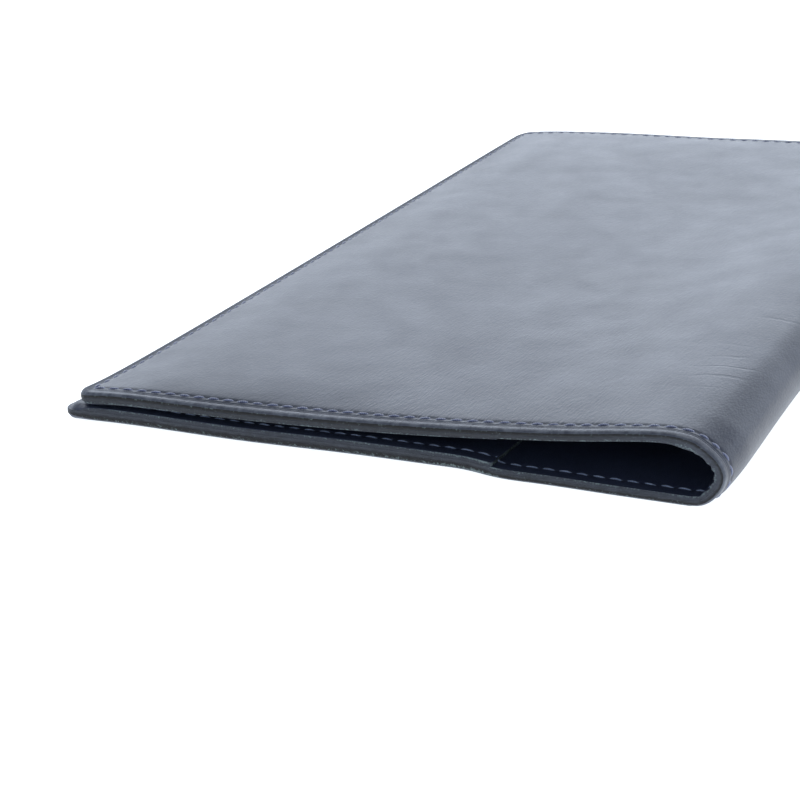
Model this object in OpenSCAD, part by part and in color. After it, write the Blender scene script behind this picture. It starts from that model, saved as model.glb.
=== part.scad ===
// Passport holder: one outer leather and one lining, folded in two round a rolled spine, with a
// pocket flap sewn inside each cover by a single seam that runs round the whole edge.
// It lies closed on its back cover. X runs across it towards the spine, Y runs along the spine,
// Z is up, and the origin is in the middle of its length and width, on the surface it lies on.

/* [Covers] */
// Length of the holder, along its spine
cover_len = 155; // [140:1:170]
// Width of the closed holder, from the back cover's open edge to the outside of the spine
closed_w = 94; // [92:1:104]
// How far the front cover stops short of the back cover's open edge
front_setback = 2.2; // [0:0.1:4]
// Radius of the corners at the two open edges
corner_r = 2.5; // [1:0.5:5]

/* [Leather] */
// Thickness of the outer leather
leather_t = 0.9; // [0.7:0.05:1.1]
// Thickness of the lining
lining_t = 0.55; // [0.4:0.05:0.7]
// Thickness of a pocket flap
flap_t = 0.6; // [0.4:0.05:0.8]

/* [Pockets] */
// Width of a pocket flap, from its cover's open edge to its own free edge
flap_w = 64; // [50:1:75]
// Gap between the two flaps where they come closest, when the holder is closed
closed_gap = 0.15; // [0.1:0.05:0.5]

/* [Spine] */
// Outside radius of the rolled spine
spine_r = 4.75; // [4.4:0.05:6]
// How far outside the leather each fold's axis lies
axis_lift = 0.025; // [0.01:0.005:0.05]

/* [Seam] */
// Distance from the edge to the middle of the seam
seam_inset = 2.3; // [1.8:0.1:3]
// Width of the thread
thread_w = 0.45; // [0.3:0.05:0.6]
// Depth of the thread, which is sunk flush into the leather
thread_t = 0.2; // [0.15:0.05:0.3]

/* [Hidden] */

// Layer radii round the spine's centre line, from the outside in
lining_r = spine_r - leather_t;
flap_r = lining_r - lining_t;
stack_t = leather_t + lining_t + flap_t;

// Each cover's reach from the spine's centre line to its open edge
back_reach = closed_w - spine_r;
front_reach = back_reach - front_setback;

// The front cover leans down from the top of the spine until its flap nearly meets the back's
cover_tilt = asin((2 * (spine_r - stack_t) - closed_gap) / front_reach);

// The bend is shared by two folds: a cover keeps the quarter of the bend next to it, and the
// spine strip has the half between them. A fold turns twice the quarter.
quarter_bend = (180 + cover_tilt) / 4;
fold_angle = 2 * quarter_bend;
fold_axis_r = spine_r + axis_lift;
spine_x = closed_w / 2 - spine_r;
back_fold_axis = [
    spine_x + fold_axis_r * sin(quarter_bend),
    spine_r - fold_axis_r * cos(quarter_bend)
];
front_fold_axis = [
    spine_x + fold_axis_r * sin(quarter_bend - cover_tilt),
    spine_r + fold_axis_r * cos(quarter_bend - cover_tilt)
];

navy = [0.10, 0.14, 0.24];
lining_navy = [0.06, 0.08, 0.13];
flap_navy = [0.09, 0.12, 0.20];
thread_navy = [0.20, 0.22, 0.42];
round_fn = 96;

echo(tilt = cover_tilt, fold_angle = fold_angle, back_axis = back_fold_axis, front_axis = front_fold_axis);

// ---- Frames. The covers and the spine are drawn round the spine's centre line, which is the
// origin: the back cover's outer face is at z = -spine_r and it reaches towards -x.

module place_back() {
    translate([spine_x, 0, spine_r]) children();
}

module place_front() {
    translate([spine_x, 0, spine_r])
        rotate([0, -cover_tilt, 0])
            mirror([0, 0, 1])
                children();
}

// ---- Shapes

// Outline of a cover seen from above, square at the spine and round at the open corners
module cover_outline(reach) {
    translate([corner_r - reach, -cover_len / 2])
        square([reach - corner_r, cover_len]);
    translate([-reach, corner_r - cover_len / 2])
        square([2 * corner_r, cover_len - 2 * corner_r]);
    for (side = [-1, 1])
        translate([corner_r - reach, side * (cover_len / 2 - corner_r)])
            circle(corner_r, $fn = round_fn);
}

// Flat part of a layer whose outer face is at radius r
module flat_layer(reach, r, t) {
    translate([0, 0, -r]) linear_extrude(t) cover_outline(reach);
}

// Part of a layer that goes round the spine, from one angle to another in the XZ plane
module bent_layer(r, t, from, to, width = cover_len) {
    far = 2 * spine_r;
    mid = (from + to) / 2;
    rotate([90, 0, 0])
        linear_extrude(width, center = true)
            intersection() {
                difference() {
                    circle(r, $fn = round_fn);
                    circle(r - t, $fn = round_fn);
                }
                polygon([
                    [0, 0],
                    far * [cos(from), sin(from)],
                    far * [cos(mid), sin(mid)],
                    far * [cos(to), sin(to)]
                ]);
            }
}

// A cover's layer with its own quarter of the bend
module cover_layer(reach, r, t) {
    flat_layer(reach, r, t);
    bent_layer(r, t, -90, -90 + quarter_bend);
}

// A pocket flap, which lies on the lining from the open edge to its own free edge
module flap(reach) {
    intersection() {
        flat_layer(reach, flap_r, flap_t);
        translate([-reach, -cover_len, -spine_r]) cube([flap_w, 2 * cover_len, spine_r]);
    }
}

// The seam on one flat face: a run along each end and, where it is asked for, one along the
// open edge. z is the lower side of the thread.
module flat_seam(from_x, to_x, z, open_edge) {
    for (side = [-1, 1])
        translate([from_x, side * (cover_len / 2 - seam_inset) - thread_w / 2, z])
            cube([to_x - from_x, thread_w, thread_t]);
    if (open_edge)
        translate([from_x, seam_inset - thread_w / 2 - cover_len / 2, z])
            cube([thread_w, cover_len - 2 * seam_inset + thread_w, thread_t]);
}

// The seam round the spine, at both ends. r is the outer side of the thread.
module bent_seam(r, from, to) {
    for (side = [-1, 1])
        translate([0, side * (cover_len / 2 - seam_inset), 0])
            bent_layer(r, thread_t, from, to, thread_w);
}

// Needle thread of a cover, flush with the outer face
module needle_thread(reach) {
    flat_seam(seam_inset - thread_w / 2 - reach, 0, -spine_r, true);
    bent_seam(spine_r, -90, -90 + quarter_bend);
}

// Bobbin thread of a cover, flush with the flap's face and, past the flap, with the lining's
module bobbin_thread(reach) {
    step_x = flap_w - thread_w - reach;
    flat_seam(seam_inset - thread_w / 2 - reach, step_x + thread_w, flap_t - flap_r - thread_t, true);
    flat_seam(step_x, 0, -flap_r - thread_t, false);
    for (side = [-1, 1])
        translate([step_x, side * (cover_len / 2 - seam_inset) - thread_w / 2, -flap_r - thread_t])
            cube([thread_w, thread_w, flap_t + thread_t]);
    bent_seam(flap_r + thread_t, -90, -90 + quarter_bend);
}

// ---- Back cover

module outer_leather_back() {
    color(navy) place_back() cover_layer(back_reach, spine_r, leather_t);
}

module lining_back() {
    color(lining_navy) place_back() cover_layer(back_reach, lining_r, lining_t);
}

module pocket_flap_back() {
    color(flap_navy) place_back() flap(back_reach);
}

module needle_thread_back() {
    color(thread_navy) place_back() needle_thread(back_reach);
}

module bobbin_thread_back() {
    color(thread_navy) place_back() bobbin_thread(back_reach);
}

// ---- Spine strip, between the two folds

module spine_layer(r, t) {
    place_back() bent_layer(r, t, -90 + quarter_bend, -90 + 3 * quarter_bend);
}

module outer_leather_spine() {
    color(navy) spine_layer(spine_r, leather_t);
}

module lining_spine() {
    color(lining_navy) spine_layer(lining_r, lining_t);
}

module needle_thread_spine() {
    color(thread_navy)
        place_back() bent_seam(spine_r, -90 + quarter_bend, -90 + 3 * quarter_bend);
}

module bobbin_thread_spine() {
    color(thread_navy)
        place_back() bent_seam(flap_r + thread_t, -90 + quarter_bend, -90 + 3 * quarter_bend);
}

// ---- Front cover

module outer_leather_front() {
    color(navy) place_front() cover_layer(front_reach, spine_r, leather_t);
}

module lining_front() {
    color(lining_navy) place_front() cover_layer(front_reach, lining_r, lining_t);
}

module pocket_flap_front() {
    color(flap_navy) place_front() flap(front_reach);
}

module needle_thread_front() {
    color(thread_navy) place_front() needle_thread(front_reach);
}

module bobbin_thread_front() {
    color(thread_navy) place_front() bobbin_thread(front_reach);
}

outer_leather_back();
lining_back();
pocket_flap_back();
needle_thread_back();
bobbin_thread_back();
outer_leather_spine();
lining_spine();
needle_thread_spine();
bobbin_thread_spine();
outer_leather_front();
lining_front();
pocket_flap_front();
needle_thread_front();
bobbin_thread_front();
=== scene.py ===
import math

import bpy
import numpy as np
from mathutils import Matrix, Vector


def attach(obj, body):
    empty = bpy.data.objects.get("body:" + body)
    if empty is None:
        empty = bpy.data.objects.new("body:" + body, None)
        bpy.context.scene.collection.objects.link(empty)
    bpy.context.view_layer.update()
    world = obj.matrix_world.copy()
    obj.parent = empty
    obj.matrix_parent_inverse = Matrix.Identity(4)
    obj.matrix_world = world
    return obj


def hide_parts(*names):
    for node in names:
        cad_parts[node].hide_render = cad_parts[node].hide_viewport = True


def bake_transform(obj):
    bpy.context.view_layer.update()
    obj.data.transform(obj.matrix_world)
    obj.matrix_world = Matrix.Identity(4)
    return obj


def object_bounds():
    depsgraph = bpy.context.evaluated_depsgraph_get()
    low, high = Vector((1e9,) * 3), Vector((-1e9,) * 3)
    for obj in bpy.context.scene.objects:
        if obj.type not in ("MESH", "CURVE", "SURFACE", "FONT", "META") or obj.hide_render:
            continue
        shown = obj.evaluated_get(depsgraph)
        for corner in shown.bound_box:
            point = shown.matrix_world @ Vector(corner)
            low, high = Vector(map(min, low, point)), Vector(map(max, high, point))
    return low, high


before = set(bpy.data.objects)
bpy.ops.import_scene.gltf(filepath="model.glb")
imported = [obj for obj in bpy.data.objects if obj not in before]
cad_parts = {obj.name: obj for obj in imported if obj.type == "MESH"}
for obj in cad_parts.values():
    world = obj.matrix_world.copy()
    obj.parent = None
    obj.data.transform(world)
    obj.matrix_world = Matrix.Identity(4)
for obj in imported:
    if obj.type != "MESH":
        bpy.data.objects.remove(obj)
CAD_LOW, CAD_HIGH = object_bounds()

# A passport holder, closed, on its back cover. Lengths here are in millimetres and become metres
# when a mesh is made. Each layer is a sheet described in three numbers: s, the distance round the
# outer face from the back cover's open edge over the spine to the front cover's; y, along the
# spine; and depth, how far inside the outer face. The outer face itself is the CAD one, pushed in
# or out a little where real leather sags, lifts or creases.

MM = 0.001

# ---- Sizes. Width and length come from the frame; the spine's radius and the front cover's
# lean, down from the top of the spine, are the CAD's.
HALF_W = CAD_HIGH[0] / MM
HALF_L = CAD_HIGH[1] / MM
LENGTH = 2 * HALF_L
SPINE_R = 4.75
SPINE_X = HALF_W - SPINE_R
TILT = math.radians(3.4576)

# Each cover's reach from the spine's centre line to its open edge
BACK_REACH = SPINE_X + HALF_W
FRONT_REACH = 88.65
ARC_LEN = SPINE_R * (math.pi + TILT)
FRONT_START = BACK_REACH + ARC_LEN
TOTAL = FRONT_START + FRONT_REACH

# ---- Layers: thicknesses, the flaps' width and the open corners
LEATHER_T = 0.9
LINING_T = 0.55
BACK_FLAP_T = 0.6
FRONT_FLAP_T = 0.45
FRONT_FLAP_EDGE_T = 0.2
LINING_DEPTH = LEATHER_T + LINING_T
FLAP_W = 62.9
BACK_CORNER_R = 2.5
FRONT_CORNER_R = 3.2

# ---- Seam, and how a stitch slants, stands proud of the leather and dips into its holes
SEAM_INSET = 2.1
PITCH = 2.22
THREAD_W = 0.46
THREAD_H = 0.24
SLANT = 0.13
STITCH_PROUD = 0.035
STITCH_DIP = 0.22
STITCH_RINGS = np.array([0, .05, .12, .25, .42, .58, .75, .88, .95, 1.0])
STITCH_SIDES = 8

# ---- Where the pieces round the spine are split into a back half and a front half
SPLIT_ANGLE = math.radians(1.73)
SPLIT_S = BACK_REACH + SPINE_R * (math.pi / 2 + SPLIT_ANGLE)

# ---- Shape of the outer face: how far it lies inside the CAD's, in mm
# The back cover's, by distance from its open edge, and how far from the near end it dies away
BACK_LIFT = [(0, .02), (9, .30), (26, .24), (44, .55), (56, .60), (60, .50), (63, .14), (69, .02),
             (77, -.06), (86, -.12), (94, -.14), (104, 0)]
BACK_LIFT_LENGTH = 25

# The front cover's, by distance from its open edge, and what its near end adds to that. The
# addition dies away over a shorter length at the open edge than at the spine.
FRONT_DIP = [(-2, .42), (2, .30), (6, .18), (14.5, .17), (28, .51), (36, .82), (44, 1.02), (54, .94),
             (64, .75), (72, .39), (82.5, -.26), (86, -.18), (90, 0)]
NEAR_DIP = [(-2, -.52), (3, -.50), (8, -.36), (14, -.09), (20, .13), (30, .20), (42, .04), (54, .11),
            (70, .20), (81, .25), (85, .10), (90, .02), (96, 0)]
NEAR_DIP_LENGTHS = (8, 28)

# The front cover's swell inside its seam, at its open edge and further in, and how fast it rises
CROWN_HEIGHTS = (0.60, 0.25)
CROWN_RISE = 5.5
EDGE_ROLL = 0.15

# Hollows, each as a middle and a half-width. The first is measured from the front cover's open
# edge, and the others round the spine, from the end of the back cover.
SAG_AT, SAG_DEPTH = (66, 14), 0.75
SHOULDER_AT, SHOULDER_DEPTHS = (12.5, 3.2), (0.72, 0.30)
RECESS_AT, RECESS_DEPTH = (5.0, 4.6), 0.65
NEAR_RECESS_AT, NEAR_RECESS_DEPTHS = (4.0, 2.2), (0.34, 0.12)
DRAWN_AT, DRAWN_DEPTH = (9.5, 4.2), 0.62

# How far the open edges draw in at the far end, and how far the near corners flare out past that
FAR_TAPER = 4.9
BACK_FLARE, BACK_FLARE_LENGTH = 1.9, 9
FRONT_FLARE, FRONT_FLARE_LENGTH = 0.25, 8
EDGE_SQUEEZE = 0.2

# ---- Edges and surface of the layers
CORNER_ZONE = 8.0
BURNISH = 0.14
GRAIN_EDGE_R = 0.36
CREASES_AT = (1.0, 1.3)
CREASE_DEPTH, CREASE_WIDTH = 0.035, 0.09
RIPPLE_DEPTH, RIPPLE_PITCH = 0.09, 2.1
FLAP_LIFT = 0.35
SKIVED_T = 0.12
LAYER_GAP = 0.006
FRAY = 0.018

RNG = np.random.default_rng(20)


# ---- Curves

def spline(points, at):
    """The natural cubic spline through listed points, level beyond its ends."""
    x, z = np.array(points, float).T
    gap = np.diff(x)
    n = len(x)
    rows = np.eye(n)
    right = np.zeros(n)
    for i in range(1, n - 1):
        rows[i, i - 1:i + 2] = gap[i - 1], 2 * (gap[i - 1] + gap[i]), gap[i]
        right[i] = 6 * ((z[i + 1] - z[i]) / gap[i] - (z[i] - z[i - 1]) / gap[i - 1])
    bend = np.linalg.solve(rows, right)
    at = np.clip(at, x[0], x[-1])
    i = np.clip(np.searchsorted(x, at) - 1, 0, n - 2)
    low, high, g = at - x[i], x[i + 1] - at, gap[i]
    cubic = (bend[i] * high ** 3 + bend[i + 1] * low ** 3) / (6 * g)
    return cubic + (z[i] / g - bend[i] * g / 6) * high + (z[i + 1] / g - bend[i + 1] * g / 6) * low


def smooth(value, start, end):
    """0 before start, 1 after end, and smooth between."""
    t = np.clip((value - start) / (end - start), 0, 1)
    return t * t * (3 - 2 * t)


def bump(value, centre, width):
    """1 at the centre, falling smoothly to about a third at width from it."""
    return np.exp(-((value - centre) / width) ** 2)


def between(pair, share):
    """The first of a pair where share is 0, the second where it is 1."""
    return pair[0] + (pair[1] - pair[0]) * share


# ---- The outer face

def undulation(s, y):
    """Shallow waves of worn leather, in mm."""
    waves = 0.06 * np.sin(s / 9.1 + 0.9 * np.sin(y / 17 + 1.0)) * np.sin(y / 12.7 + 0.4)
    waves += 0.05 * np.sin(s / 5.3 - y / 14.1 + 2.0) * np.sin(y / 23.0)
    waves += 0.09 * np.sin(s / 21.0 + y / 33.0 + 1.3)
    return waves


def inset_of(s, y):
    """Distance from the nearest sewn edge."""
    across = np.minimum(s, TOTAL - s)
    along = HALF_L - np.abs(y)
    return np.minimum(across, along)


def covers_push(s, from_near):
    """How far the lie of the two covers pushes the outer face in."""
    from_open = TOTAL - s
    lift = spline(BACK_LIFT, s) * (1 - smooth(from_near, 0, BACK_LIFT_LENGTH))
    dip = spline(FRONT_DIP, from_open) * smooth(from_open, 93, 86)
    near_length = between(NEAR_DIP_LENGTHS, smooth(from_open, 25, 55))
    near_dip = spline(NEAR_DIP, from_open) * np.exp(-np.clip(from_near, 0, None) / near_length)
    sag = SAG_DEPTH * bump(from_open, *SAG_AT) * smooth(from_near / LENGTH, 0.25, 1)
    return lift + dip + near_dip + sag


def spine_push(s, from_near, from_end):
    """How far the hollows round the spine push it in. The seam draws the ends in."""
    arc = s - BACK_REACH
    shoulder = between(SHOULDER_DEPTHS, smooth(from_near, 4, 32)) * bump(arc, *SHOULDER_AT)
    recess = RECESS_DEPTH * smooth(from_near, 4, 40) * bump(arc, *RECESS_AT)
    near_recess = between(NEAR_RECESS_DEPTHS, smooth(from_near, 0, 3)) * bump(arc, *NEAR_RECESS_AT)
    drawn = DRAWN_DEPTH * (1 - smooth(from_end, 0.3, 9)) * bump(arc, *DRAWN_AT)
    return shoulder + recess + near_recess + drawn


def crown_push(s, from_near, from_end):
    """How far the front cover's swell inside its seam pushes it out, and its open edge rolls in."""
    from_open = TOTAL - s
    puff = 1 - np.exp(-np.clip(from_end - 1, 0, None) / CROWN_RISE)
    high = between(CROWN_HEIGHTS, smooth(from_open, 30, 60))
    crown = high * puff * smooth(s, 108, 120) * smooth(from_open, -1, 14)
    roll = EDGE_ROLL * (1 - smooth(from_open, -0.5, 3.2)) * smooth(from_near, 0, 8)
    return roll - crown


def push_in(s, y):
    """How far the outer face lies inside the CAD's, in mm. Only the front cover undulates."""
    from_near = y + HALF_L
    from_end = HALF_L - np.abs(y)
    calm = smooth(inset_of(s, y), 0, 14) * smooth(s, 112, 118)
    shape = covers_push(s, from_near) + spine_push(s, from_near, from_end)
    return shape + crown_push(s, from_near, from_end) + calm * undulation(s, y)


def taper(y, flare, flare_length):
    """How far an open edge draws in towards the spine, in mm. Its near corner flares out."""
    before = 2
    from_near = np.clip(y + HALF_L, -1, None)
    share = (from_near + before) / (LENGTH + before)
    start = before / (LENGTH + before)
    return FAR_TAPER * (share ** 0.75 - start ** 0.75) - flare * np.exp(-from_near / flare_length)


def squeeze(from_open):
    """How far the sheet is pushed towards an open edge, which brings the seam closer to it, in mm."""
    return EDGE_SQUEEZE * smooth(from_open, 0, 2.4) * (1 - smooth(from_open, 3, 45))


def face_point(s, y):
    """A point of the outer face, in mm."""
    back_scale = 1 - taper(y, BACK_FLARE, BACK_FLARE_LENGTH) / BACK_REACH
    front_scale = 1 - taper(y, FRONT_FLARE, FRONT_FLARE_LENGTH) / FRONT_REACH
    angle = np.clip((s - BACK_REACH) / SPINE_R, 0, math.pi + TILT) - math.pi / 2
    normal_x, normal_z = -np.cos(angle), -np.sin(angle)
    back_run = np.where(s < BACK_REACH, s - BACK_REACH - squeeze(s), 0) * back_scale
    front_run = np.where(s > FRONT_START, s - FRONT_START + squeeze(TOTAL - s), 0) * front_scale
    inward = push_in(s, y)
    x = SPINE_X + back_run - front_run * math.cos(TILT) + normal_x * (inward - SPINE_R)
    z = SPINE_R - front_run * math.sin(TILT) + normal_z * (inward - SPINE_R)
    return np.stack([x, y + 0 * s, z], -1)


def place(s, y, depth):
    """The point at a depth inside the outer face, measured square to it, in mm."""
    step = 0.02
    across = face_point(s + step, y) - face_point(s - step, y)
    along = face_point(s, y + step) - face_point(s, y - step)
    inward = np.cross(across, along)
    inward /= np.linalg.norm(inward, axis=-1, keepdims=True)
    return face_point(s, y) + inward * np.asarray(depth)[..., None]


def round_corner(s, y):
    """Moves points near the four open corners so that the outline turns on a radius there."""
    corner = np.where(s < TOTAL / 2, BACK_CORNER_R, FRONT_CORNER_R)
    a = np.minimum(s, TOTAL - s)
    b = HALF_L - np.abs(y)
    m = np.minimum(a, b)
    radius = np.clip(corner - m, 1e-6, None)
    other = np.maximum(a, b) - m
    run = other * (1 - radius * (1 - math.pi / 4) / CORNER_ZONE)
    turn = np.clip(run / radius, 0, math.pi / 4)
    straight = np.clip(run - radius * math.pi / 4, 0, None)
    centre = np.maximum(corner, m)
    near_way = centre - radius * np.cos(math.pi / 4 - turn)
    far_way = centre - radius * np.sin(math.pi / 4 - turn) + straight
    inside = (other < CORNER_ZONE) & (m < corner)
    new_a = np.where(inside, np.where(a <= b, near_way, far_way), a)
    new_b = np.where(inside, np.where(a <= b, far_way, near_way), b)
    new_s = np.where(s < TOTAL / 2, new_a, TOTAL - new_a)
    new_y = np.where(y < 0, new_b - HALF_L, HALF_L - new_b)
    return new_s, new_y


# ---- Thickness of the layers

def hole_phase(s, y):
    """Distance along the seam in stitches, which is whole at each hole."""
    across = (s - SEAM_INSET) / STITCH_S
    along = (y + HALF_L - SEAM_INSET) / STITCH_Y
    sewn_end = HALF_L - np.abs(y) <= np.minimum(s, TOTAL - s)
    return np.where(sewn_end, across, along)


def seam_dent(s, y, depth, width):
    """How far the seam pulls a face in, deepest at each hole."""
    m = inset_of(s, y)
    holes = 0.5 + 0.5 * np.cos(2 * math.pi * hole_phase(s, y))
    return depth * bump(m, SEAM_INSET, width) * (0.3 + 0.9 * holes ** 2)


def rounding(m, radius):
    """Depth of a rounded edge, at a distance m from it."""
    t = 1 - np.clip(m / radius, 0, 1)
    return radius * (1 - np.sqrt(1 - t * t * 0.98))


def nose(s, y):
    """How round the open corners are rubbed: 1 at the back cover's, less at the front cover's."""
    from_end = HALF_L - np.abs(y)
    back = bump(s, 0, 3.0) * bump(from_end, 0, 9)
    front = 0.35 * bump(TOTAL - s, 0, 3.0) * bump(from_end, 0, 9)
    return back + front


def stack_depth(s):
    """About how thick all the layers are at a sewn edge."""
    front_flap = np.where(s > TOTAL - FLAP_W, FRONT_FLAP_EDGE_T, 0)
    return LINING_DEPTH + np.where(s < FLAP_W, BACK_FLAP_T, front_flap)


def burnish(s, y, depth, flat_s, flat_y):
    """Moves points at a cut edge out, so that the rubbed edge of the whole stack is convex."""
    half = stack_depth(flat_s) / 2
    crest = BURNISH * np.clip(1 - ((depth - half) / half) ** 2, -0.3, 1)
    at_open = 1 - smooth(np.minimum(flat_s, TOTAL - flat_s), 0, 0.6)
    at_end = 1 - smooth(HALF_L - np.abs(flat_y), 0, 0.6)
    moved_s = s + np.where(s < TOTAL / 2, -1, 1) * crest * at_open
    moved_y = y + np.where(y < 0, -1, 1) * crest * at_end
    return moved_s, moved_y


def grain_depth(s, y):
    """Depth of the outer leather's grain side."""
    m = inset_of(s, y)
    pinch = np.where(s < BACK_REACH, 0.02, 0.10) * (1 - smooth(m, 0.4, 3.2))
    crease = CREASE_DEPTH * sum(bump(m, at, CREASE_WIDTH) for at in CREASES_AT)
    edge = rounding(m, GRAIN_EDGE_R) + nose(s, y) * rounding(m, 0.6)
    return edge + pinch + crease + seam_dent(s, y, 0.085, 0.28)


def ripple(s, y):
    """Compression ripples of the lining inside the spine."""
    arc = s - BACK_REACH
    window = smooth(arc, -1, 2.5) * smooth(arc, 16, 12.5)
    stray = 0.8 * np.sin(arc * 1.3) + 0.25 * np.sin(y / 6.0)
    return RIPPLE_DEPTH * window * np.sin(2 * math.pi * arc / RIPPLE_PITCH + stray)


def lining_face(s, y):
    """Depth of the lining's inner face, which is squeezed thicker inside the spine."""
    arc = s - BACK_REACH
    thicker = 0.12 * bump(arc, 6.5, 4.0) + 0.3 * bump(arc, 15.5, 2.2)
    return LINING_DEPTH + thicker + ripple(s, y) - seam_dent(s, y, 0.07, 0.3)


def from_free_edge(s):
    """Distance from the nearer flap's free edge."""
    return np.minimum(np.abs(s - FLAP_W), np.abs(TOTAL - FLAP_W - s))


def flap_rise(s, y):
    """How far a flap's free edge lifts off the lining, away from the sewn ends."""
    along = smooth(HALF_L - np.abs(y), 4, 40)
    return FLAP_LIFT * along * np.exp(-from_free_edge(s) / 14)


def flap_thickness(s, y):
    """Thickness of a flap, in mm. The front one is skived thin at its ends and its free edge, and
    thicker in the open corners."""
    from_end = HALF_L - np.abs(y)
    full = np.maximum(smooth(from_end, 3, 15), 0.3 * smooth(from_free_edge(s), 0, 14))
    skived = between((SKIVED_T, FRONT_FLAP_T), full)
    corners = 0.4 * bump(TOTAL - s, 0, 4.5) * bump(from_end, 0, 8)
    return np.where(s < TOTAL / 2, BACK_FLAP_T, skived) + corners


def flap_face(s, y):
    """Depth of a flap's inner face."""
    m = inset_of(s, y)
    edge = 0.5 * rounding(m, 0.08) + nose(s, y) * rounding(m, 1.5)
    edge = edge + 0.4 * rounding(np.minimum(from_free_edge(s), 0.1), 0.1)
    depth = LINING_DEPTH + flap_thickness(s, y) + flap_rise(s, y)
    return depth - edge - seam_dent(s, y, 0.10, 0.3)


def under_edge(s, y):
    """How far a layer's outer side lies clear of the layer before, with its corner rubbed."""
    return LAYER_GAP + 0.5 * rounding(inset_of(s, y), 0.05)


def inner_face(s, y):
    """Depth of whatever faces the inside: a flap, or the lining beyond it."""
    on_flap = (s < FLAP_W) | (s > TOTAL - FLAP_W)
    return np.where(on_flap, flap_face(s, y), lining_face(s, y))


# ---- Grid lines

EDGE_LINES = np.array([0, .03, .08, .15, .24, .35, .48, .65, .85, .93, 1.0, 1.07, 1.15, 1.23, 1.3, 1.37,
                       1.5, 1.7, 1.9, 2.1, 2.3, 2.5, 2.7, 2.95, 3.2])
STITCHES_S = round((TOTAL - 2 * SEAM_INSET) / PITCH)
STITCHES_Y = round((LENGTH - 2 * SEAM_INSET) / PITCH)
STITCH_S = (TOTAL - 2 * SEAM_INSET) / STITCHES_S
STITCH_Y = (LENGTH - 2 * SEAM_INSET) / STITCHES_Y


def grid_lines(total, pitch, share):
    """Grid lines over a length: close together at both sewn edges, a share of a stitch between."""
    step = pitch * share
    first = EDGE_LINES[-1] + 0.6 * step
    holes = SEAM_INSET + step * np.arange(round((total - 2 * SEAM_INSET) / step) + 1)
    middle = holes[(holes > first) & (holes < total - first)]
    return np.concatenate([EDGE_LINES, middle, (total - EDGE_LINES)[::-1]])


def cut_lines(lines, start, end, split):
    """The grid lines between start and end, closer together on both sides of split."""
    extra = [split + step for step in (-0.5, -0.25, -0.1, -0.04, 0, 0.04, 0.1, 0.25, 0.5)]
    kept = [v for v in lines if abs(v - split) > 0.7]
    every = np.array(sorted(kept + extra))
    return every[(every >= start - 1e-6) & (every <= end + 1e-6)]


# ---- Meshes

def make_object(name, points, quads, groups, materials, uv=None, marks=None, sharp=math.radians(50)):
    """An object from points in mm and quads, with a material number for each quad."""
    mesh = bpy.data.meshes.new(name)
    mesh.vertices.add(len(points))
    mesh.vertices.foreach_set("co", (points * MM).astype(np.float32).ravel())
    mesh.loops.add(quads.size)
    mesh.loops.foreach_set("vertex_index", quads.astype(np.int32).ravel())
    mesh.polygons.add(len(quads))
    mesh.polygons.foreach_set("loop_start", np.arange(0, quads.size, 4, dtype=np.int32))
    mesh.polygons.foreach_set("material_index", groups.astype(np.int32))
    if uv is not None:
        layer = mesh.uv_layers.new(name="flat_mm")
        layer.data.foreach_set("uv", uv[quads.ravel()].astype(np.float32).ravel())
    for mark, values in (marks or {}).items():
        mesh.attributes.new(mark, "FLOAT", "POINT").data.foreach_set("value", values.astype(np.float32))
    for material in materials:
        mesh.materials.append(material)
    mesh.update(calc_edges=True)
    mesh.validate()
    mesh.polygons.foreach_set("use_smooth", np.ones(len(mesh.polygons), bool))
    mesh.set_sharp_from_angle(angle=sharp)
    obj = bpy.data.objects.new(name, mesh)
    bpy.context.scene.collection.objects.link(obj)
    return obj


def ring_of(rows, columns):
    """Indices of a grid's border, counter-clockwise from its first corner."""
    index = np.arange(rows * columns).reshape(rows, columns)
    return np.concatenate([index[0, :-1], index[:-1, -1], index[-1, :0:-1], index[:0:-1, 0]])


def grid_quads(rows, columns):
    index = np.arange(rows * columns).reshape(rows, columns)
    corners = [index[:-1, :-1], index[1:, :-1], index[1:, 1:], index[:-1, 1:]]
    return np.stack([c.ravel() for c in corners], -1)


def fray(s, y, depth):
    """How far a cut face stands proud or short, in mm, from where it is on the sheet."""
    along = s + 1.7 * y
    rough = np.sin(along * 2.9 + 3 * depth) + 0.7 * np.sin(along * 7.1 - 5 * depth)
    rough += 0.8 * np.sin(along * 0.83 + 7 * depth)
    return FRAY * rough


def outward_signs(s, y):
    """Which way the cut face at a border point faces, as -1, 0 or 1 in s and in y."""
    out_s = np.where(s < 0.01, -1, 0) + np.where(s > TOTAL - 0.01, 1, 0)
    out_y = np.where(y < 0.01 - HALF_L, -1, 0) + np.where(y > HALF_L - 0.01, 1, 0)
    return out_s, out_y


def cut_face_row(flat, rounded, depth):
    """One row of points round a cut face, from (s, y) before and after round_corner."""
    proud = fray(*flat, depth)
    out_s, out_y = outward_signs(*flat)
    rubbed_s, rubbed_y = burnish(*rounded, depth, *flat)
    return place(rubbed_s + out_s * proud, rubbed_y + out_y * proud, depth)


def sheet_marks(uv, depth):
    """What the materials read at each point: its layer, the band along the grain's rounded rim where a
    highlight is painted, and the open edge's margin.
    """
    inset = inset_of(uv[:, 0], uv[:, 1])
    share = np.clip(depth / stack_depth(uv[:, 0]), 0, 1)
    from_open = np.minimum(uv[:, 0], TOTAL - uv[:, 0])
    return {
        "layer": np.where(inset < 0.5, share, 0.25),
        # The band along the grain's rounded rim where a pale highlight is painted
        "rim_highlight_and_wear": bump(inset, 0.18, 0.18),
        "margin": 1 - smooth(from_open, 1.3, 2.5)}


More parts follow.
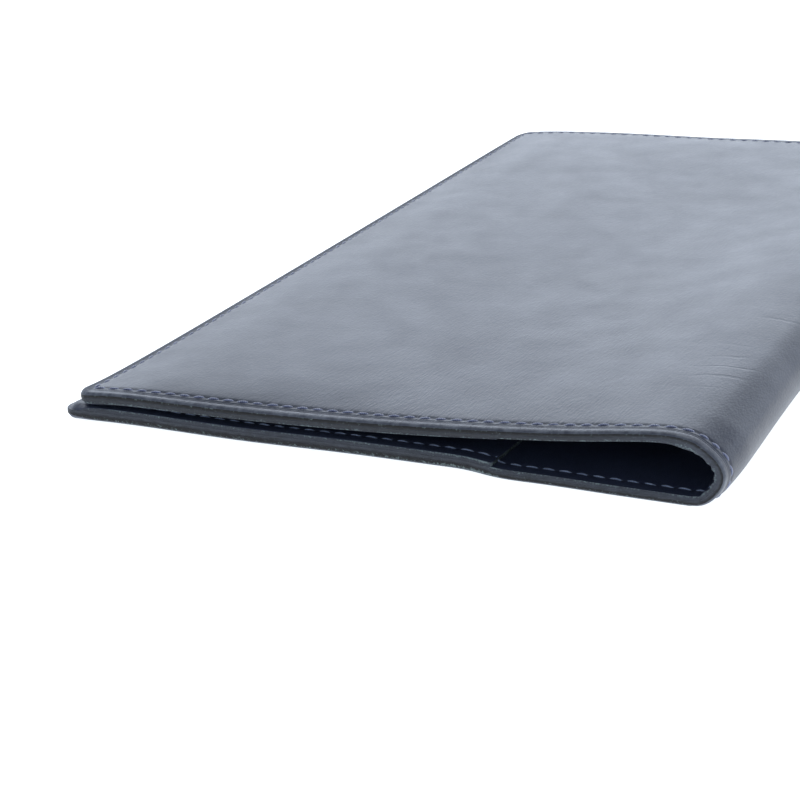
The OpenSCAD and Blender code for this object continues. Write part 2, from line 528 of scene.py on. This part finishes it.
def sheet_quads(rows, columns, cut_rows):
    """The quads of a closed sheet, and a material number for each: 0 above, 1 below, 2 on the cut."""
    count = rows * columns
    ring = ring_of(rows, columns)
    face = grid_quads(rows, columns)
    levels = [ring]
    levels += [2 * count + k * len(ring) + np.arange(len(ring)) for k in range(cut_rows - 1)]
    levels += [ring + count]
    sides = [
        np.stack([above, np.roll(above, -1), np.roll(below, -1), below], -1)
        for above, below in zip(levels, levels[1:])]
    groups = np.repeat([0, 1, 2], [len(face), len(face), cut_rows * len(ring)])
    return np.concatenate([face, face[:, ::-1] + count, *sides]), groups


def sheet_solid(name, s_lines, y_lines, top, under, materials, cut_rows=4):
    """A closed solid between two depths of the sheet. top and under give a depth from (s, y)."""
    s, y = np.meshgrid(s_lines, y_lines)
    ring = ring_of(*s.shape)
    round_s, round_y = round_corner(s, y)
    upper, lower = top(s, y), under(s, y)
    points = [
        place(*burnish(round_s, round_y, depth, s, y), depth).reshape(-1, 3) for depth in (upper, lower)]
    depths = [upper.ravel(), lower.ravel()]
    flat_uv = np.stack([s.ravel(), y.ravel()], -1)
    uvs = [flat_uv, flat_uv]
    flat = s.ravel()[ring], y.ravel()[ring]
    rounded = round_s.ravel()[ring], round_y.ravel()[ring]
    for k in range(1, cut_rows):
        depth = upper.ravel()[ring] + (lower - upper).ravel()[ring] * k / cut_rows
        points.append(cut_face_row(flat, rounded, depth))
        depths.append(depth)
        uvs.append(flat_uv[ring])
    uvs = np.concatenate(uvs)
    quads, groups = sheet_quads(*s.shape, cut_rows)
    marks = sheet_marks(uvs, np.concatenate(depths))
    return make_object(name, np.concatenate(points), quads, groups, materials, uvs, marks)


# ---- Stitches

def seam_runs():
    """The two holes of every stitch, as rows of (s, y, s, y), side by side round the seam."""
    across = SEAM_INSET + STITCH_S * np.arange(STITCHES_S + 1)
    along = SEAM_INSET - HALF_L + STITCH_Y * np.arange(STITCHES_Y + 1)
    runs = []
    for y in (SEAM_INSET - HALF_L, HALF_L - SEAM_INSET):
        runs += [(a, y, b, y) for a, b in zip(across, across[1:])]
    for s in (SEAM_INSET, TOTAL - SEAM_INSET):
        runs += [(s, a, s, b) for a, b in zip(along, along[1:])]
    return np.array(runs)


def stitch_paths(runs, gap, lean):
    """The middle of every stitch at each of its rings, and the way across it, on the flat sheet."""
    start, end = runs[:, None, 0:2], runs[:, None, 2:4]
    length = np.linalg.norm(end - start, axis=-1, keepdims=True)
    way = (end - start) / length
    aside = np.stack([-way[..., 1], way[..., 0]], -1)
    t = STITCH_RINGS[None, :, None]
    along = gap + (length - 2 * gap) * t
    slope = (SLANT + lean)[:, None, None] * (1 - 2 * t)
    return start + way * along + aside * slope, aside


def stitch_quads(count, turn):
    """The quads of every stitch's side and two ends. turn, 1 or -1, keeps them facing outwards."""
    shape = (count, len(STITCH_RINGS), STITCH_SIDES)
    index = np.arange(math.prod(shape)).reshape(shape)
    a, b = index[:, :-1], index[:, 1:]
    quads = [np.stack([a, np.roll(a, turn, 2), np.roll(b, turn, 2), b], -1).reshape(-1, 4)]
    for ring, order in ((index[:, 0], -1), (index[:, -1], 1)):
        for k in range(0, STITCH_SIDES - 2, 2):
            last = (k + 3) % STITCH_SIDES
            cap = np.stack([ring[:, 0], ring[:, k + 1], ring[:, k + 2], ring[:, last]], -1)
            quads.append(cap[:, ::order * turn])
    return np.concatenate(quads)


def stitch_solid(name, runs, face, outward, material, girth_scale, gap):
    """Every stitch as its own small closed thread, which dips into a hole at each end."""
    around = np.linspace(0, 2 * math.pi, STITCH_SIDES, endpoint=False)
    wobble = RNG.normal(0, 1, (len(runs), 3))
    middle, aside = stitch_paths(runs, gap, 0.04 * wobble[:, 0])
    arch = np.sqrt(np.sin(math.pi * np.clip(STITCH_RINGS, 0.004, 0.996)))[None, :]
    proud = (STITCH_PROUD + 0.012 * wobble[:, 1])[:, None]
    height = proud * arch - STITCH_DIP * (1 - arch) ** 0.8
    girth = girth_scale * (0.72 + 0.28 * arch)[..., None]
    wide = 0.5 * THREAD_W * girth * np.cos(around) * (1 + 0.05 * wobble[:, 2])[:, None, None]
    tall = 0.5 * THREAD_H * girth * np.sin(around)
    at = middle[:, :, None, :] + aside[:, :, None, :] * wide[..., None]
    s, y = at[..., 0], at[..., 1]
    level = face(middle[..., 0][..., None] + 0 * s, middle[..., 1][..., None] + 0 * s)
    points = place(s, y, level - outward * (height[..., None] + tall)).reshape(-1, 3)
    quads = stitch_quads(len(runs), -outward)
    uv = np.stack([s.ravel(), y.ravel()], -1)
    return make_object(name, points, quads, np.zeros(len(quads)), [material], uv, sharp=math.radians(180))


# ---- Materials

# Colours, as linear red, green and blue
NAVY_DEEP, NAVY = (0.0075, 0.0110, 0.027), (0.013, 0.0185, 0.044)
STREAK_DEEP, STREAK = (0.006, 0.0085, 0.021), (0.019, 0.026, 0.056)
# Pale colour painted along the grain's rounded rim: partly a painted highlight, partly rubbed wear
RIM_HIGHLIGHT_AND_WEAR = (0.19, 0.21, 0.25)
SHEEN_TINT = (0.6, 0.7, 1.0)
CUT_CORE, CUT_MIDDLE, CUT_BORDER = (0.010, 0.010, 0.012), (0.040, 0.044, 0.054), (0.034, 0.038, 0.050)
CUT_PITS, CUT_FIBRE = (0.010, 0.011, 0.012), (0.19, 0.25, 0.26)
# Painted light: how much paler the back cover's and the spine's cut edges are made, most at the fold
CUT_PAINTED_LIGHT = (2.1, 2.15, 2.25)
LINING_COLOURS = (0.034, 0.043, 0.078), (0.050, 0.062, 0.110)
FLAP_COLOURS = (0.034, 0.043, 0.075), (0.050, 0.062, 0.105)
# For each thread: two shades of its own colour, then the colour of a painted glint laid along the plies
NEEDLE_COLOURS_AND_GLINT = (0.085, 0.090, 0.20), (0.14, 0.150, 0.28), (0.36, 0.46, 0.60)
BOBBIN_COLOURS_AND_GLINT = (0.20, 0.26, 0.42), (0.34, 0.42, 0.60), (0.60, 0.72, 0.85)
FLOOR_GLOW = (0.92, 0.97, 1.0)
SKY_TINT = (0.90, 0.99, 1.12)


def new_material(name):
    material = bpy.data.materials.new(name)
    material.use_nodes = True
    nodes = material.node_tree.nodes
    nodes.clear()
    output = nodes.new("ShaderNodeOutputMaterial")
    surface = nodes.new("ShaderNodeBsdfPrincipled")
    material.node_tree.links.new(surface.outputs["BSDF"], output.inputs["Surface"])
    return material, surface


def link(material, source, target):
    material.node_tree.links.new(source, target)


def node(material, kind, **values):
    """A new node with its inputs set by name, from a number, a tuple or another node's output."""
    made = material.node_tree.nodes.new(kind)
    for name, value in values.items():
        key = name.replace("_", " ")
        if hasattr(made, name) and name not in made.inputs:
            setattr(made, name, value)
        elif isinstance(value, bpy.types.NodeSocket):
            link(material, value, made.inputs[key])
        else:
            made.inputs[key].default_value = value
    return made


def math_node(material, operation, *values):
    made = material.node_tree.nodes.new("ShaderNodeMath")
    made.operation = operation
    for slot, value in zip(made.inputs, values):
        if isinstance(value, bpy.types.NodeSocket):
            link(material, value, slot)
        else:
            slot.default_value = value
    return made.outputs[0]


def flat_coordinates(material, scale=(1, 1, 1), turn=0.0):
    """The sheet's own flat coordinates in mm, scaled and turned."""
    source = material.node_tree.nodes.new("ShaderNodeUVMap")
    source.uv_map = "flat_mm"
    mapping = material.node_tree.nodes.new("ShaderNodeMapping")
    mapping.inputs["Rotation"].default_value = (0, 0, turn)
    mapping.inputs["Scale"].default_value = scale
    link(material, source.outputs["UV"], mapping.inputs["Vector"])
    return mapping.outputs["Vector"]


def place_coordinates(material, scale):
    """The piece's own coordinates in metres, scaled."""
    source = material.node_tree.nodes.new("ShaderNodeTexCoord")
    mapping = material.node_tree.nodes.new("ShaderNodeMapping")
    mapping.inputs["Scale"].default_value = scale
    link(material, source.outputs["Object"], mapping.inputs["Vector"])
    return mapping.outputs["Vector"]


def noise(material, vector, scale, detail=3.0, roughness=0.55, distortion=0.0):
    made = node(material, "ShaderNodeTexNoise", Vector=vector, Scale=scale, Detail=detail,
                Roughness=roughness, Distortion=distortion)
    return made.outputs["Fac"]


def ramp(material, value, stops):
    """A colour ramp through stops of (place, colour), the colour a number or a triple."""
    made = material.node_tree.nodes.new("ShaderNodeValToRGB")
    link(material, value, made.inputs["Fac"])
    elements = made.color_ramp.elements
    while len(elements) < len(stops):
        elements.new(0.5)
    for element, (place_at, colour) in zip(elements, stops):
        element.position = place_at
        rgb = colour if isinstance(colour, tuple) else (colour,) * 3
        element.color = (*rgb, 1)
    return made.outputs["Color"]


def mix(material, factor, first, second, blend="MIX"):
    made = material.node_tree.nodes.new("ShaderNodeMix")
    made.data_type = "RGBA"
    made.blend_type = blend
    for slot, value in ((made.inputs[0], factor), (made.inputs[6], first), (made.inputs[7], second)):
        if isinstance(value, bpy.types.NodeSocket):
            link(material, value, slot)
        elif isinstance(value, tuple):
            slot.default_value = (*value, 1)
        else:
            slot.default_value = value
    return made.outputs[2]


def mark(material, name):
    """A value stored on the mesh, from 0 to 1."""
    source = material.node_tree.nodes.new("ShaderNodeAttribute")
    source.attribute_name = name
    return source.outputs["Fac"]


def sheet_share(material, axis):
    """Where a point is on the sheet. X runs from 0 at the back cover's open edge to 1 at the
    front's, and Y from 0 at the near end to 1 at the far end."""
    scaled = flat_coordinates(material, (1 / TOTAL, 1 / LENGTH, 1))
    share = node(material, "ShaderNodeSeparateXYZ", Vector=scaled).outputs[axis]
    return math_node(material, "ADD", share, 0.5) if axis == "Y" else share


def bump_chain(material, surface, layers):
    """Bumps laid over each other, from layers of (height, strength, distance in metres)."""
    normal = None
    for height, strength, distance in layers:
        made = node(material, "ShaderNodeBump", Height=height, Strength=strength, Distance=distance)
        if normal is not None:
            link(material, normal, made.inputs["Normal"])
        normal = made.outputs["Normal"]
    link(material, normal, surface.inputs["Normal"])


def flex_creases(material):
    """Height of the fine creases that open and shut on the front shoulder of the spine."""
    plain = flat_coordinates(material)
    lines = node(material, "ShaderNodeTexWave", Vector=plain, Scale=0.075, Distortion=5.0, Detail=3.0,
                 bands_direction="Y")
    lines = ramp(material, lines.outputs["Fac"], [(0.90, 0.0), (0.985, 1.0)])
    across = sheet_share(material, "X")
    shoulder = ramp(material, across, [(0.50, 0.0), (0.52, 1.0), (0.555, 1.0), (0.595, 0.0)])
    patches = ramp(material, noise(material, plain, 0.045, 2), [(0.50, 0.0), (0.62, 1.0)])
    depth = math_node(material, "MULTIPLY", math_node(material, "MULTIPLY", lines, shoulder), patches)
    return math_node(material, "MULTIPLY", depth, -1.0)


def streak_strength(material):
    """How clearly the streaked grain shows: most at the near end, least by the open edge and spine."""
    near = ramp(material, sheet_share(material, "Y"), [(0.0, 1.0), (0.45, 0.3)])
    across = ramp(material, sheet_share(material, "X"), [
        (0.50, 0.35), (0.56, 0.45), (0.63, 1.0), (0.76, 1.0), (0.90, 0.25)])
    return math_node(material, "MULTIPLY", near, across)


def leather_colour(material, cloud, streaks):
    """Navy, clouded and streaked, with a pale highlight painted in patches along the grain's rounded rim,
    which also stands for rubbed wear.
    """
    base = ramp(material, cloud, [(0.3, NAVY_DEEP), (0.7, NAVY)])
    base = mix(material, 0.35, base, ramp(material, streaks, [(0.3, STREAK_DEEP), (0.75, STREAK)]))
    patchy = noise(material, flat_coordinates(material), 0.9, 4)
    patchy = ramp(material, patchy, [(0.3, 0.25), (0.7, 1.0)])
    # Painted highlight along the rim, in patches like rubbed wear
    painted_rim_highlight = math_node(material, "MULTIPLY", mark(material, "rim_highlight_and_wear"), patchy)
    return mix(material, painted_rim_highlight, base, RIM_HIGHLIGHT_AND_WEAR)


def leather_roughness(material, streaks):
    """Roughness of the grain: uneven, and more at the open edges' margins."""
    blotch = noise(material, flat_coordinates(material), 0.16, 3, 0.5)
    rough = math_node(material, "MULTIPLY_ADD", blotch, 0.12, 0.24)
    rough = math_node(material, "MULTIPLY_ADD", streaks, 0.10, rough)
    return math_node(material, "MULTIPLY_ADD", mark(material, "margin"), 0.20, rough)


def leather_shine(material, cloud):
    """Strength of the wax finish's gloss, which smears and the open edges' margins dull."""
    drawn_out = flat_coordinates(material, (0.034, 0.10, 1), 0.15)
    smear = ramp(material, noise(material, drawn_out, 1.0, 3, 0.45, 0.3), [(0.50, 0.0), (0.68, 1.0)])
    shine = math_node(material, "MULTIPLY_ADD", cloud, 0.36, 0.335)
    shine = math_node(material, "MULTIPLY_ADD", smear, -0.10, shine)
    return math_node(material, "MULTIPLY_ADD", mark(material, "margin"), -0.20, shine)


def leather_material():
    """Smooth full-grain navy leather with a soft wax finish."""
    material, surface = new_material("outer_leather")
    plain = flat_coordinates(material)
    stretched = flat_coordinates(material, (1.0, 0.17, 1), math.radians(13.5))
    cloud = noise(material, plain, 0.035, 4, 0.6, 0.4)
    streaks = noise(material, stretched, 3.0, 3, 0.6)
    drawn_out = flat_coordinates(material, (1, 0.5, 1))
    pores = node(material, "ShaderNodeTexVoronoi", Vector=drawn_out, Scale=3.4)
    fine = noise(material, plain, 7.0, 2, 0.5)
    link(material, leather_colour(material, cloud, streaks), surface.inputs["Base Color"])
    link(material, leather_roughness(material, streaks), surface.inputs["Roughness"])
    link(material, leather_shine(material, cloud), surface.inputs["Specular IOR Level"])
    surface.inputs["Sheen Weight"].default_value = 0.05
    surface.inputs["Sheen Roughness"].default_value = 0.5
    surface.inputs["Sheen Tint"].default_value = (*SHEEN_TINT, 1)
    bump_chain(material, surface, [
        (math_node(material, "MULTIPLY", streaks, streak_strength(material)), 0.7, 0.00013),
        (pores.outputs["Distance"], 0.28, 0.00006),
        (fine, 0.25, 0.00003),
        (flex_creases(material), 0.3, 0.00008)])
    return material


def cut_colour(material, layer, fibre):
    """The layers' colours through the cut, with painted light making the back cover's and the spine's cut
    paler, most at the fold, and dark pits between fibres.
    """
    base = ramp(material, layer, [
        (0.0, CUT_BORDER), (0.08, CUT_CORE), (0.38, CUT_CORE), (0.60, CUT_MIDDLE), (1.0, CUT_BORDER)])
    across = sheet_share(material, "X")
    # Painted light over the back cover's and the spine's cut, strongest at the fold
    painted_light_at_fold = ramp(material, across, [(0.30, 0.45), (0.46, 0.70), (0.52, 0.70), (0.62, 0.0)])
    base = mix(material, painted_light_at_fold, base, mix(material, 1.0, base, CUT_PAINTED_LIGHT, "MULTIPLY"))
    return mix(material, ramp(material, fibre, [(0.3, 0.5), (0.7, 0.0)]), base, CUT_PITS)


def frayed_specks(material, layer, speck):
    """Where loose pale fibres show: along both borders of the cut, most at the end of the back flap."""
    where = place_coordinates(material, (1000, 1000, 1000))
    patch = noise(material, where, 0.22, 2)
    border = ramp(material, layer, [(0.12, 1.0), (0.40, 0.0), (0.80, 0.0), (0.94, 0.8)])
    across = sheet_share(material, "X")
    flap_end = ramp(material, across, [(0.28, 0.0), (0.312, 1.0), (0.328, 1.0), (0.335, 0.0)])
    in_patches = math_node(material, "MULTIPLY", border, patch)
    at_flap_end = math_node(material, "MULTIPLY", border, flap_end)
    level = math_node(material, "MULTIPLY_ADD", in_patches, 0.36, speck)
    level = math_node(material, "MULTIPLY_ADD", at_flap_end, 0.16, level)
    return ramp(material, level, [(0.62, 0.0), (0.78, 0.8)])


def edge_material():
    """A cut edge, from the outer leather's dark core to the paler lining."""
    material, surface = new_material("leather_cut_edge")
    fibre = noise(material, place_coordinates(material, (500, 500, 1400)), 1.6, 5, 0.7)
    speck = noise(material, place_coordinates(material, (1000, 1000, 1000)), 3.6, 4, 0.7)
    centred = math_node(material, "ADD", mark(material, "layer"), -0.12)
    layer = math_node(material, "MULTIPLY_ADD", fibre, 0.24, centred)
    specks = frayed_specks(material, layer, speck)
    base = mix(material, specks, cut_colour(material, layer, fibre), CUT_FIBRE)
    link(material, base, surface.inputs["Base Color"])
    surface.inputs["Roughness"].default_value = 0.6
    surface.inputs["Specular IOR Level"].default_value = 0.25
    bump_chain(material, surface, [(fibre, 0.6, 0.00012), (speck, 0.5, 0.00008)])
    return material


def lining_material(name, low, high):
    """Thin smooth lining leather."""
    material, surface = new_material(name)
    plain = flat_coordinates(material)
    cloud = noise(material, plain, 0.08, 4, 0.6)
    drawn_out = flat_coordinates(material, (1, 0.7, 1))
    grain = node(material, "ShaderNodeTexVoronoi", Vector=drawn_out, Scale=3.2)
    fine = noise(material, plain, 5.0, 3, 0.6)
    link(material, ramp(material, cloud, [(0.3, low), (0.7, high)]), surface.inputs["Base Color"])
    link(material, math_node(material, "MULTIPLY_ADD", fine, 0.2, 0.30), surface.inputs["Roughness"])
    bump_chain(material, surface, [(grain.outputs["Distance"], 0.3, 0.00005), (fine, 0.2, 0.00003)])
    return material


def thread_material(name, low, high, painted_glint):
    """Twisted polyester sewing thread, between two shades, with a glint painted pale along each ply."""
    material, surface = new_material(name)
    twist = flat_coordinates(material, turn=math.radians(40))
    plies = node(material, "ShaderNodeTexWave", Vector=twist, Scale=1.3, Distortion=0.6)
    colour = noise(material, flat_coordinates(material), 0.45, 2)
    base = ramp(material, colour, [(0.35, low), (0.65, high)])
    # Painted glint along the plies
    base = mix(material, math_node(material, "MULTIPLY", plies.outputs["Fac"], 0.35), base, painted_glint)
    link(material, base, surface.inputs["Base Color"])
    surface.inputs["Roughness"].default_value = 0.45
    surface.inputs["Sheen Weight"].default_value = 0.3
    bump_chain(material, surface, [(plies.outputs["Fac"], 0.5, 0.00008)])
    return material


def floor_material():
    """A white sweep: pale enough to vanish, with a trace of contact shadow."""
    material, surface = new_material("pale_floor")
    tone = noise(material, place_coordinates(material, (4, 4, 4)), 1.0, 2)
    link(material, ramp(material, tone, [(0, 0.86), (1, 0.90)]), surface.inputs["Base Color"])
    surface.inputs["Roughness"].default_value = 0.8
    surface.inputs["Emission Color"].default_value = (*FLOOR_GLOW, 1)
    surface.inputs["Emission Strength"].default_value = 1.0
    return material


# ---- Camera, floor and light

CAMERA_AT = (121.904, -330.914, 114.015)
CAMERA_YAW, CAMERA_PITCH, CAMERA_ROLL = (math.radians(a) for a in (-25.1294, 20.5365, -2.07))
LENS, SENSOR_W = 104.692, 36
FLOOR_HALF, FLOOR_LEVEL = 3.0, -0.0002
SKY_STRENGTH = 3.06
SOFT_BOX_AT = (0.1, 0.2, 1.2)
SOFT_BOX_SIZE, SOFT_BOX_POWER = 1.2, 4


def add_camera():
    sine, cosine = math.sin(CAMERA_YAW), math.cos(CAMERA_YAW)
    level = math.cos(CAMERA_PITCH)
    forward = Vector((sine * level, cosine * level, -math.sin(CAMERA_PITCH)))
    right = Vector((cosine, -sine, 0))
    up = right.cross(forward)
    turned_right = math.cos(CAMERA_ROLL) * right + math.sin(CAMERA_ROLL) * up
    turned_up = -math.sin(CAMERA_ROLL) * right + math.cos(CAMERA_ROLL) * up
    data = bpy.data.cameras.new("camera")
    data.sensor_width = SENSOR_W
    data.lens = LENS
    data.clip_start = 0.01
    camera = bpy.data.objects.new("camera", data)
    bpy.context.scene.collection.objects.link(camera)
    turn = Matrix((turned_right, turned_up, -forward)).transposed().to_4x4()
    camera.matrix_world = Matrix.Translation(Vector(CAMERA_AT) * MM) @ turn
    bpy.context.scene.camera = camera


def add_floor():
    mesh = bpy.data.meshes.new("floor")
    turns = ((-1, -1), (1, -1), (1, 1), (-1, 1))
    corners = [(x * FLOOR_HALF, y * FLOOR_HALF, FLOOR_LEVEL) for x, y in turns]
    mesh.from_pydata(corners, [], [(0, 1, 2, 3)])
    mesh.materials.append(floor_material())
    floor = bpy.data.objects.new("floor", mesh)
    bpy.context.scene.collection.objects.link(floor)


def add_soft_box():
    """A square lamp overhead that points at the object."""
    data = bpy.data.lights.new("soft_box", "AREA")
    data.shape = "SQUARE"
    data.size = SOFT_BOX_SIZE
    data.energy = SOFT_BOX_POWER
    lamp = bpy.data.objects.new("soft_box", data)
    bpy.context.scene.collection.objects.link(lamp)
    turn = (-Vector(SOFT_BOX_AT)).to_track_quat("-Z", "Y").to_matrix().to_4x4()
    lamp.matrix_world = Matrix.Translation(SOFT_BOX_AT) @ turn
    lamp.visible_camera = False


def sky_colour(world):
    """A studio's soft light by direction: brightest low down at the back, dim overhead and right."""
    source = node(world, "ShaderNodeTexCoord").outputs["Generated"]
    direction = node(world, "ShaderNodeSeparateXYZ", Vector=source).outputs
    height = ramp(world, direction["Z"], [
        (0.0, 0.58), (0.15, 0.68), (0.24, 0.84), (0.31, 1.0),
        (0.37, 0.97), (0.43, 0.60), (0.5, 0.28), (0.7, 0.16)])
    far = math_node(world, "MULTIPLY_ADD", direction["Y"], 0.5, 0.5)
    right = math_node(world, "MULTIPLY_ADD", direction["X"], 0.5, 0.5)
    behind = ramp(world, far, [(0.35, 0.36), (0.75, 1.0)])
    left = ramp(world, right, [(0.20, 0.84), (0.34, 1.0), (0.44, 1.0), (0.62, 0.66)])
    shade = mix(world, 1.0, height, mix(world, 1.0, behind, left, "MULTIPLY"), "MULTIPLY")
    return mix(world, 1.0, shade, SKY_TINT, "MULTIPLY")


def add_light():
    world = bpy.data.worlds.new("world")
    bpy.context.scene.world = world
    world.use_nodes = True
    background = world.node_tree.nodes["Background"]
    link(world, sky_colour(world), background.inputs["Color"])
    background.inputs["Strength"].default_value = SKY_STRENGTH
    add_soft_box()


# ---- Pieces


def bend_back(obj, slot, *nodes):
    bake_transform(obj)
    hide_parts(*nodes)


def bend_front(obj, slot, *nodes):
    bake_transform(obj)
    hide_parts(*nodes)


def halves(s_lines):
    """The grid lines of the back half and the front half, which meet in the middle of the spine."""
    return cut_lines(s_lines, 0, SPLIT_S, SPLIT_S), cut_lines(s_lines, SPLIT_S, TOTAL, SPLIT_S)


def add_leather(skin, edge):
    y_lines = grid_lines(LENGTH, STITCH_Y, 0.25) - HALF_L
    back_s, front_s = halves(grid_lines(TOTAL, STITCH_S, 0.25))
    under = lambda s, y: LEATHER_T + 0 * s
    skins = [skin, skin, edge]
    piece = sheet_solid("leather_back_half", back_s, y_lines, grain_depth, under, skins)
    bend_back(piece, "outer_leather", "outer_leather_back", "outer_leather_spine")
    piece = sheet_solid("leather_front_half", front_s, y_lines, grain_depth, under, skins)
    bend_front(piece, "outer_leather", "outer_leather_front", "outer_leather_spine")


def add_lining(skin, edge):
    y_lines = grid_lines(LENGTH, STITCH_Y, 0.5) - HALF_L
    round_spine = np.arange(BACK_REACH - 3, FRONT_START + 3, 0.3)
    s_lines = np.concatenate([grid_lines(TOTAL, STITCH_S, 0.5), round_spine])
    back_s, front_s = halves(np.unique(np.round(s_lines, 4)))
    top = lambda s, y: LEATHER_T + under_edge(s, y)
    skins = [skin, skin, edge]
    piece = sheet_solid("lining_back_half", back_s, y_lines, top, lining_face, skins, 3)
    bend_back(piece, "lining_leather", "lining_back", "lining_spine")
    piece = sheet_solid("lining_front_half", front_s, y_lines, top, lining_face, skins, 3)
    bend_front(piece, "lining_leather", "lining_front", "lining_spine")


def add_flaps(skin, edge):
    y_lines = grid_lines(LENGTH, STITCH_Y, 0.5) - HALF_L
    sewn = [v for v in grid_lines(TOTAL, STITCH_S, 0.5) if v < FLAP_W - 0.6]
    free = [FLAP_W - d for d in (0.5, 0.3, 0.18, 0.1, 0.04, 0)]
    back_s = np.array(sewn + free)
    top = lambda s, y: LINING_DEPTH + flap_rise(s, y) + under_edge(s, y)
    for body, s_lines in (("back", back_s), ("front", TOTAL - back_s[::-1])):
        piece = sheet_solid(f"flap_{body}", s_lines, y_lines, top, flap_face, [skin, skin, edge], 3)
        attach(piece, body)
        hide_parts(f"pocket_flap_{body}")


def add_stitches(needle, bobbin):
    runs = seam_runs()
    on_back = runs[:, [0, 2]].mean(1) < SPLIT_S
    kinds = (
        ("needle", grain_depth, 1, needle, 1.0, 0.10),
        ("bobbin", inner_face, -1, bobbin, 0.75, -0.05))
    for name, face, outward, thread, scale, gap in kinds:
        piece = stitch_solid(f"{name}_stitches_back", runs[on_back], face, outward, thread, scale, gap)
        bend_back(piece, "thread", f"{name}_thread_back", f"{name}_thread_spine")
        piece = stitch_solid(f"{name}_stitches_front", runs[~on_back], face, outward, thread, scale, gap)
        bend_front(piece, "thread", f"{name}_thread_front", f"{name}_thread_spine")


add_camera()
add_floor()
add_light()
cut_edge = edge_material()
add_leather(leather_material(), cut_edge)
add_lining(lining_material("lining_leather", *LINING_COLOURS), cut_edge)
add_flaps(lining_material("flap_leather", *FLAP_COLOURS), cut_edge)
add_stitches(
    thread_material("needle_thread", *NEEDLE_COLOURS_AND_GLINT), thread_material("bobbin_thread", *BOBBIN_COLOURS_AND_GLINT))
bpy.context.scene.view_settings.view_transform = "Standard"
